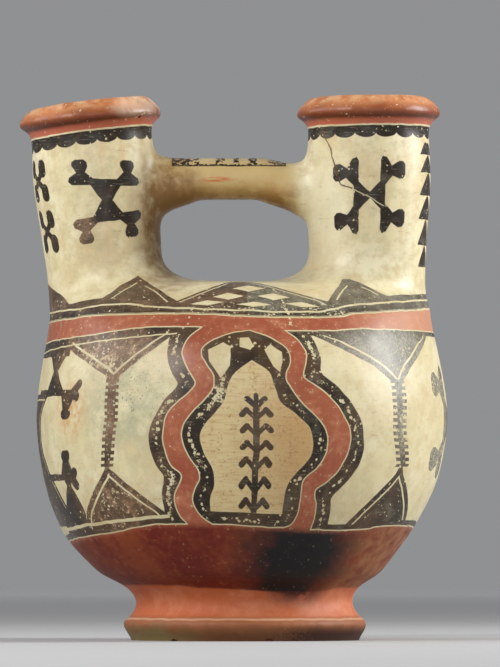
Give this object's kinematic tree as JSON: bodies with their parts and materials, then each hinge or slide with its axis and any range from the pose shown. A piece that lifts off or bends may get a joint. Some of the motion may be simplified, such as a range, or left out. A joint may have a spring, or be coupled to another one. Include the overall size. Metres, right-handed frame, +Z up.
{
  "type": "double-spouted clay pot",
  "caption": "Round-bellied hollow clay pot on a ring foot, with open cylindrical spouts joined by a solid bridge handle, painted in cream, black and red slip.",
  "frame": {"origin": "on the table, plumb below the middle of the bridge handle; the middle of the pot's overall width and depth, with the foot about 7 mm to +X of it because the pot was made by eye", "axes": "+Z up through the open mouths; +X from the lower spout, which leans outwards, to the upper one; the painted front faces -Y"},
  "size_m": [0.2353, 0.225, 0.2983],
  "materials": {
    "fired_clay": "burnished slip over fired clay, satin"
  },
  "bodies": {
    "root": {"double_spouted_pot": "fired_clay"}
  },
  "joints": []
}
